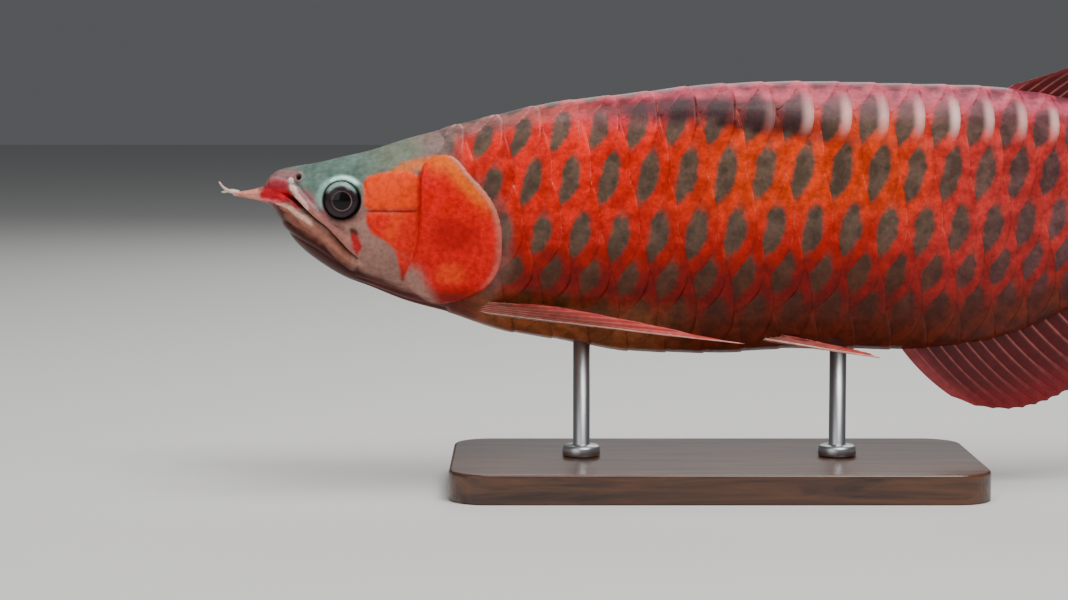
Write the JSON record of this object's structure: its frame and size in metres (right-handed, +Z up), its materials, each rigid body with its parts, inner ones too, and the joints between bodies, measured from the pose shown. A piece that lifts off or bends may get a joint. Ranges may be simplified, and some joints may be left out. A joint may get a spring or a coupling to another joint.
{
  "type": "asian arowana, still life-size model on a display stand",
  "caption": "Life-size still model of an adult red Asian arowana, level as in slow swimming, on two short rods over a flat base.",
  "frame": {"origin": "centre of the flat underside of the stand's base", "axes": "+X from the head to the tail, +Y from the fish's left flank to its right, +Z up; the fish faces -X"},
  "size_m": [0.5933, 0.12, 0.2066],
  "materials": {
    "skin": "gloss",
    "scales": "gloss",
    "gill_plate": "gloss",
    "fin": "satin",
    "eye": "gloss",
    "barbel": "satin",
    "stand_wood": "satin",
    "stand_steel": "brushed"
  },
  "bodies": {
    "root": {"head": "skin", "lower_jaw": "skin", "torso": "scales", "tail": "scales", "gill_cover_left": "gill_plate", "gill_cover_right": "gill_plate", "dorsal_fin": "fin", "anal_fin": "fin", "caudal_fin": "fin", "pectoral_fin_left": "fin", "pectoral_fin_right": "fin", "pelvic_fin_left": "fin", "pelvic_fin_right": "fin", "eye_left": "eye", "eye_right": "eye", "barbel_left": "barbel", "barbel_right": "barbel", "stand_base": "stand_wood", "stand_rod_front": "stand_steel", "stand_rod_rear": "stand_steel"}
  },
  "joints": []
}
